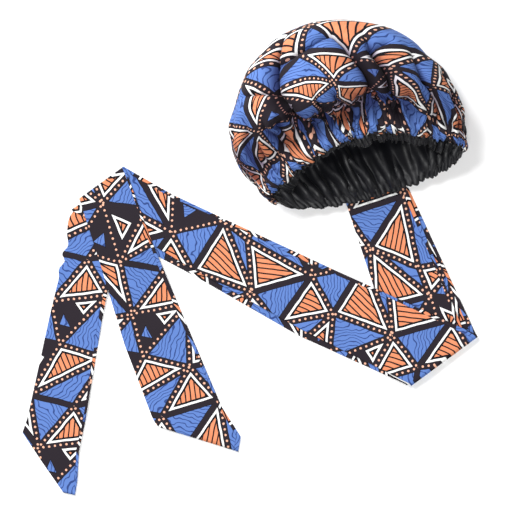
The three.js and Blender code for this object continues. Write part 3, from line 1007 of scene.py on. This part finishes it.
def weave_group():
    """The fine uneven thread of a plain cloth as a height from 0 to 1: two noises, each drawn out one way."""
    graph, given, result = new_group(
        "Woven thread",
        [("Place", VECTOR, None), ("Pitch", VALUE, None)],
        [("Height", VALUE)],
    )
    rate = graph.math("DIVIDE", 1, given["Pitch"])
    wide = graph.vector("MULTIPLY", given["Place"], (THREAD_STRETCH, 1, 1))
    tall = graph.vector("MULTIPLY", given["Place"], (1, THREAD_STRETCH, 1))
    both = graph.math("ADD", graph.noise(wide, rate, 1), graph.noise(tall, rate, 1))
    graph.join(result["Height"], graph.math("MULTIPLY", both, 0.5))
    return graph.tree


def nearest_shape(graph, triangle, place, shapes):
    """The deepest inset of a place in several triangles, and its distance square to that one's strokes."""
    deepest = None
    for points, band in shapes:
        centre, sides, across = triangle_sides(points)
        values = [(x, y, distance - band) for x, y, distance in sides]
        node = graph.group(triangle, place, (centre[0], centre[1], 0), *values, (across[0], across[1], 0))
        inset, stroke = node.outputs[:2]
        if deepest is None:
            deepest = inset
            nearest = stroke
        else:
            deeper = graph.math("GREATER_THAN", inset, deepest)
            nearest = graph.math("MULTIPLY_ADD", deeper, graph.math("SUBTRACT", stroke, nearest), nearest)
            deepest = graph.math("MAXIMUM", deepest, inset)
    return deepest, nearest


def nearest_dot(graph, dot_row, place, pitch):
    """How far a place is from the nearest dot of all the dotted lines."""
    distance = None
    for names in PRINT_DOTTED:
        start, end = corner_points(names)
        centre = (start + end) / 2 * MM
        along = unit(end - start)
        half = np.linalg.norm(end - start) / 2 * MM
        node = graph.group(dot_row, place, (centre[0], centre[1], 0), (along[0], along[1], 0),
                           (-along[1], along[0], 0), half, pitch)
        distance = node.outputs[0] if distance is None else graph.math("MINIMUM", distance, node.outputs[0])
    return distance


def hatched_orange(graph, given, drawn, across, ink):
    """Streaky orange with ink lines at the hatch pitch."""
    stroke = graph.math("DIVIDE", across, given["Hatch pitch"])
    hatch = graph.math("LESS_THAN", graph.math("PINGPONG", stroke, 0.5), HATCH_SHARE)
    streaks = graph.noise(graph.vector("MULTIPLY", drawn, STREAK_SCALE), 1, 2)
    pale = graph.vector("MULTIPLY", given["Orange"], PALE_ORANGE_SHADE)
    return graph.mix(hatch, graph.mix(streaks, given["Orange"], pale), ink)


def veined_blue(graph, given, across):
    """Blue with wavering darker veins, where a ramp bent by noise passes each whole number."""
    grain = graph.noise(given["Flat"], GRAIN_SCALE, 2)
    veins = graph.math("MULTIPLY_ADD", grain, GRAIN_VEINS, graph.math("MULTIPLY", across, VEIN_RATE))
    vein = graph.math("LESS_THAN", graph.math("PINGPONG", veins, 0.5), VEIN_SHARE)
    return graph.mix(vein, given["Blue"], graph.vector("MULTIPLY", given["Blue"], NAVY_SHADE))


def print_group(sizes, colours):
    """The wax print as a colour: charcoal ground, orange and blue triangles, and rows of dots."""
    graph, given, result = new_group(
        "Wax print",
        [("Flat", VECTOR, None), ("Orange", COLOUR, tuple(colours.orange)),
         ("Blue", COLOUR, tuple(colours.blue)), ("Charcoal", COLOUR, tuple(colours.charcoal)),
         ("Cream", COLOUR, tuple(colours.cream)), ("White", COLOUR, tuple(colours.white)),
         ("Outline", VALUE, sizes.outline),
         ("Hatch pitch", VALUE, sizes.hatch), ("Dot radius", VALUE, sizes.dot),
         ("Dot pitch", VALUE, sizes.dot_pitch)],
        [("Color", COLOUR)],
    )
    wander = graph.noise(given["Flat"], DRIFT_SCALE, 1, "Color")
    drift = graph.vector("SUBTRACT", wander, (0.5, 0.5, 0.5))
    drift = graph.vector("MULTIPLY", drift, (HAND_DRIFT, HAND_DRIFT, 0))
    drawn = graph.vector("ADD", given["Flat"], drift)
    place = graph.vector("MULTIPLY_ADD", drawn, (1, 1, 0), (0, 0, 1))
    shapes = {"orange": [], "blue": []}
    for names, kind in PRINT_SHAPES:
        shapes[kind].append((corner_points(names), sizes.band))
    for kind, *points in PRINT_SMALL:
        shapes[kind].append((points, 0))
    triangle = triangle_group()
    orange, orange_across = nearest_shape(graph, triangle, place, shapes["orange"])
    blue, blue_across = nearest_shape(graph, triangle, place, shapes["blue"])
    dots = nearest_dot(graph, dot_row_group(), place, given["Dot pitch"])
    ink = graph.vector("MULTIPLY", given["Charcoal"], INK_SHADE)
    orange_fill = hatched_orange(graph, given, drawn, orange_across, ink)
    blue_fill = veined_blue(graph, given, blue_across)
    dotted = graph.math("LESS_THAN", dots, given["Dot radius"])
    shown = graph.mix(dotted, given["Charcoal"], given["Cream"])
    for inset, least, fill in (
        (blue, -INK_LINE, ink),
        (blue, 0, blue_fill),
        (orange, -INK_LINE, ink),
        (orange, 0, given["White"]),
        (orange, given["Outline"], ink),
        (orange, graph.math("ADD", given["Outline"], HATCH_GAP), orange_fill),
    ):
        shown = graph.mix(graph.math("GREATER_THAN", inset, least), shown, fill)
    graph.join(result["Color"], shown)
    return graph.tree


def new_material(name):
    """A material with one shader, the graph that adds to it, and the shader's inputs."""
    material = bpy.data.materials.new(name)
    material.use_nodes = True
    material.node_tree.nodes.clear()
    graph = Graph(material.node_tree)
    shader = graph.put("ShaderNodeBsdfPrincipled")
    graph.put("ShaderNodeOutputMaterial", shader.outputs[0])
    return material, graph, shader.inputs


def shared_material(name, build):
    """A material that several pieces use: it is built once and then found again by its name."""
    return bpy.data.materials.get(name) or build(name)


def weave_normal(graph, place, thread):
    """A bump normal of the woven thread, which both cloths share."""
    pitch, height = thread
    group = bpy.data.node_groups.get("Woven thread") or weave_group()
    bump = graph.put("ShaderNodeBump")
    bump.inputs["Strength"].default_value = 1
    bump.inputs["Distance"].default_value = height
    graph.join(bump.inputs["Height"], graph.group(group, place, pitch).outputs[0])
    return bump.outputs[0]


def printed_cotton(name):
    """The printed cotton: the wax print with painted shade in hollows and along the ties' turned strip, on a
    dull weave.
    """
    scene = bpy.context.scene
    material, graph, surface = new_material(name)
    flat = graph.put("ShaderNodeUVMap", uv_map="flat").outputs[0]
    turned = graph.put("ShaderNodeAttribute", attribute_name="turned").outputs["Fac"]
    # The hollow mask, for painted shade in the folds
    hollow = graph.put("ShaderNodeAttribute", attribute_name="hollow").outputs["Fac"]
    strip = graph.math("GREATER_THAN", turned, STRIP_START)
    place = graph.vector("MULTIPLY_ADD", STRIP_PRINT, strip, flat)
    wax = graph.group(print_group(scene.bonnet_print, scene.bonnet_colours), place).outputs[0]
    # A thin line of painted shade just inside the edge of the tie's turned strip
    from_strip_edge = graph.math("ABSOLUTE", graph.math("SUBTRACT", turned, STRIP_EDGE_MIDDLE))
    strip_edge_shade = graph.math("LESS_THAN", from_strip_edge, STRIP_EDGE_HALF)
    shade = graph.math("MAXIMUM", hollow, graph.math("MULTIPLY", strip_edge_shade, STRIP_EDGE_SHADE))
    # Painted shade: the print is darkened in hollows and along the turned strip's edge
    graph.join(surface["Base Color"], graph.mix(shade, wax, graph.vector("MULTIPLY", wax, PAINTED_SHADE_TINT)))
    surface["Roughness"].default_value = 0.8
    surface["Specular IOR Level"].default_value = 0.12
    surface["Sheen Weight"].default_value = 0.02
    surface["Sheen Roughness"].default_value = 0.5
    graph.join(surface["Normal"], weave_normal(graph, flat, COTTON_THREAD))
    return material


def black_satin(name):
    """The black satin: cloudy in colour and gloss, on a very fine weave."""
    material, graph, surface = new_material(name)
    flat = graph.put("ShaderNodeUVMap", uv_map="flat").outputs[0]
    cloudy = graph.noise(flat, SATIN_CLOUDS, 3)
    dark = tuple(bpy.context.scene.bonnet_colours.satin)
    light = tuple(value * SATIN_LIGHT for value in dark[:3]) + (1,)
    graph.join(surface["Base Color"], graph.mix(cloudy, dark, light))
    graph.join(surface["Roughness"], graph.math("MULTIPLY_ADD", cloudy, CLOUD_ROUGHNESS, SATIN_ROUGHNESS))
    surface["Specular IOR Level"].default_value = 0.40
    surface["Sheen Weight"].default_value = 0.04
    surface["Sheen Roughness"].default_value = 0.35
    graph.join(surface["Normal"], weave_normal(graph, flat, SATIN_THREAD))
    return material


def metres(name, description, value):
    """A property that is a length in metres."""
    return FloatProperty(name=name, description=description, default=value, unit="LENGTH")


def colour(name, description, value):
    """A property that is a colour."""
    return FloatVectorProperty(
        name=name, description=description, subtype="COLOR", size=4, min=0, max=1, default=value + (1,))


class BonnetCap(PropertyGroup):
    """Sizes of the cap"""

    flat_radius: metres("Flat radius", "Radius of each round piece of cloth before it is gathered", 0.245)
    cotton: metres("Cotton", "Thickness of the cotton", 0.0015)
    satin: metres("Satin", "Thickness of the satin", 0.0012)
    clearance: metres("Clearance", "Gap between cotton and satin", 0.0004)
    casing_width: metres("Casing width", "From the stitch line to the hem", 0.030)
    casing_swell: metres("Casing swell", "How far the casing's tube swells to each side", 0.0048)
    satin_edge: metres("Satin edge", "How far the cotton stops short of the hem", 0.004)
    frill: metres("Frill", "Satin that stands beyond the hem at the upper lip", 0.014)
    puff: metres("Puff", "How far the cloth swells between its folds", 0.0045)
    mouth_x: metres("Mouth X", "Middle of the mouth along X", MOUTH_X)
    mouth_y: metres("Mouth Y", "Middle of the mouth along Y", MOUTH_Y)
    mouth_turn: FloatProperty(
        name="Mouth turn", description="How far the mouth's line is turned on the table",
        default=MOUTH_TURN, subtype="ANGLE")
    print_shift: FloatVectorProperty(
        name="Print shift", description="Where the cap's far end lies in the print",
        size=2, default=(0.088, 0.0), unit="LENGTH")
    columns: IntProperty(name="Columns", description="Points round one ring of the cap", default=480)
    rows: IntProperty(name="Rows", description="Rings from the far end to the hem", default=96)


class BonnetTies(PropertyGroup):
    """Sizes of the two ties"""

    thickness: metres("Thickness", "Thickness of a sewn tie", 0.0015)
    pitch: metres("Pitch", "Height from one layer to the next", 0.0021)
    step: metres("Step", "Length of one mesh row along a tie", 0.004)
    turned: metres("Turned strip", "Width of the other side that shows along one edge", 0.0055)
    flat_width: metres("Flat width", "Width of a tie", 0.079)
    flat_length: metres("Flat length", "Length of a tie", 0.95)


class BonnetPrint(PropertyGroup):
    """Sizes of the print"""

    outline: metres("Outline", "Width of the white outline", 0.0025)
    band: metres("Band", "Half the width of the bands between shapes", 0.0038)
    hatch: metres("Hatch", "Spacing of the hatch lines", 0.0060)
    dot: metres("Dot", "Radius of a dot", 0.00138)
    dot_pitch: metres("Dot pitch", "Spacing of the dots", 0.0070)


class BonnetColours(PropertyGroup):
    """Colours of the print, the lining and the table"""

    orange: colour("Orange", "Fill of the orange triangles", (0.58, 0.16, 0.069))
    blue: colour("Blue", "Fill of the blue triangles", (0.088, 0.166, 0.425))
    charcoal: colour("Charcoal", "Ground of the print", (0.0165, 0.0122, 0.017))
    cream: colour("Cream", "Dots", (0.66, 0.36, 0.25))
    white: colour("White", "Outlines", (0.74, 0.74, 0.73))
    satin: colour("Satin", "Lining", (0.0015, 0.0016, 0.0024))
    floor: colour("Floor", "Table under the bonnet", (0.88, 0.88, 0.88))


class BONNET_OT_crown(Operator):
    """Add the printed cotton cap"""

    bl_idname = "bonnet.crown"
    bl_label = "Crown"

    def execute(self, context):
        sizes = context.scene.bonnet_cap
        reaches = ring_reaches(sizes) * (1 - sizes.satin_edge / sizes.flat_radius)
        depths = (0, sizes.cotton / MM)
        material = shared_material("wax_print_cotton", printed_cotton)
        crown = cup("crown", sizes, reaches, depths, sizes.casing_swell / MM, material)
        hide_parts("crown_shell")
        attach(crown, "root")
        return {"FINISHED"}


class BONNET_OT_lining(Operator):
    """Add the black satin lining with its frilled hem"""

    bl_idname = "bonnet.lining"
    bl_label = "Lining"

    def execute(self, context):
        sizes = context.scene.bonnet_cap
        frill = sizes.frill / sizes.flat_radius
        reaches = np.concatenate([ring_reaches(sizes), 1 + frill * np.linspace(0, 1, FRILL_ROWS + 1)[1:]])
        top = (sizes.cotton + sizes.clearance) / MM
        depths = (top, top + sizes.satin / MM)
        material = shared_material("soft_satin", black_satin)
        lining = cup("satin_lining", sizes, reaches, depths, -sizes.casing_swell / MM, material)
        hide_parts("lining")
        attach(lining, "root")
        return {"FINISHED"}


class BONNET_OT_ties(Operator):
    """Add the two long printed ties"""

    bl_idname = "bonnet.ties"
    bl_label = "Ties"

    def execute(self, context):
        sizes = context.scene.bonnet_ties
        material = shared_material("wax_print_cotton", printed_cotton)
        right = tie(
            "right_tie", sizes, RIGHT_TIE, levels=(0, 1, 2, 0), slopes=(SECOND_LEG_SLOPES, RIGHT_TAIL_SLOPES),
            rises=(3, 1), print_at=(20, 35), ruffled=False, material=material)
        left = tie(
            "left_tie", sizes, LEFT_TIE, levels=(1, 0, 1, 0), slopes=(SECOND_LEG_SLOPES, LEFT_TAIL_SLOPES),
            rises=(1, -1), print_at=(-60, 12), ruffled=True, material=material)
        for piece, node in ((right, "tie_right"), (left, "tie_left")):
            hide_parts(node)
            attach(piece, "root")
        return {"FINISHED"}


def pale_table(name):
    """The floor's material: pale, faintly cloudy and dull."""
    material, graph, surface = new_material(name)
    place = graph.put("ShaderNodeTexCoord").outputs["Object"]
    pale = tuple(bpy.context.scene.bonnet_colours.floor)
    graph.join(surface["Base Color"], graph.mix(graph.noise(place, FLOOR_CLOUDS, 2), pale, FLOOR_LIGHT))
    surface["Roughness"].default_value = 0.9
    return material


def add_floor(scene):
    """A square floor that the bonnet lies on."""
    mesh = bpy.data.meshes.new("floor")
    corners = [(-FLOOR_HALF, -FLOOR_HALF, 0), (FLOOR_HALF, -FLOOR_HALF, 0),
               (FLOOR_HALF, FLOOR_HALF, 0), (-FLOOR_HALF, FLOOR_HALF, 0)]
    mesh.from_pydata(corners, [], [(0, 1, 2, 3)])
    mesh.materials.append(pale_table("pale_table"))
    floor = bpy.data.objects.new("floor", mesh)
    scene.collection.objects.link(floor)


def add_lights(scene):
    """Soft square lamps that face the origin, an even light all round, and the plain view of colours."""
    for name, place, size, power in LAMPS:
        lamp = bpy.data.lights.new(name, "AREA")
        lamp.size = size
        lamp.energy = power
        holder = bpy.data.objects.new(name, lamp)
        holder.location = place
        x, y, z = place
        holder.rotation_euler = (math.atan2(math.hypot(x, y), z), 0, math.atan2(-y, -x) - math.pi / 2)
        scene.collection.objects.link(holder)
    world = bpy.data.worlds.new("studio")
    world.use_nodes = True
    background = world.node_tree.nodes["Background"]
    background.inputs[0].default_value = (1, 1, 1, 1)
    background.inputs[1].default_value = WORLD_LIGHT
    scene.world = world
    scene.view_settings.view_transform = "Standard"


def add_camera(scene):
    """A camera straight above that frames what the photo frames."""
    lens = bpy.data.cameras.new("camera")
    lens.lens = LENS
    lens.sensor_width = SENSOR
    camera = bpy.data.objects.new("camera", lens)
    half = PHOTO_SIDE / 2
    height = half * PIXEL * LENS / (SENSOR / 2)
    camera.location = ((half - ORIGIN_ACROSS) * PIXEL, (ORIGIN_DOWN - half) * PIXEL, height)
    scene.collection.objects.link(camera)
    scene.camera = camera


class BONNET_OT_stage(Operator):
    """Add the table, the lights and the camera straight above"""

    bl_idname = "bonnet.stage"
    bl_label = "Stage"

    def execute(self, context):
        add_floor(context.scene)
        add_lights(context.scene)
        add_camera(context.scene)
        return {"FINISHED"}


class BONNET_PT_panel(Panel):
    """The bonnet's pieces, sizes and colours"""

    bl_idname = "BONNET_PT_panel"
    bl_label = "Bonnet"
    bl_space_type = "VIEW_3D"
    bl_region_type = "UI"
    bl_category = "Bonnet"

    def draw(self, context):
        layout = self.layout
        for operator in OPERATORS:
            layout.operator(operator.bl_idname)
        for group in GROUPS:
            values = getattr(context.scene, group)
            for name in GROUPS[group].__annotations__:
                layout.prop(values, name)


OPERATORS = (BONNET_OT_stage, BONNET_OT_crown, BONNET_OT_lining, BONNET_OT_ties)
GROUPS = {
    "bonnet_cap": BonnetCap, "bonnet_ties": BonnetTies,
    "bonnet_print": BonnetPrint, "bonnet_colours": BonnetColours,
}
CLASSES = (*GROUPS.values(), *OPERATORS, BONNET_PT_panel)


def register():
    """Registers every class and gives each scene the bonnet's properties."""
    for kind in CLASSES:
        bpy.utils.register_class(kind)
    for name, group in GROUPS.items():
        setattr(bpy.types.Scene, name, PointerProperty(type=group))


def unregister():
    """Takes away what register added."""
    for name in GROUPS:
        delattr(bpy.types.Scene, name)
    for kind in reversed(CLASSES):
        bpy.utils.unregister_class(kind)


def main():
    """Makes the stage and the bonnet."""
    register()
    bpy.ops.bonnet.stage()
    bpy.ops.bonnet.crown()
    bpy.ops.bonnet.lining()
    bpy.ops.bonnet.ties()


if __name__ == "__main__":
    main()
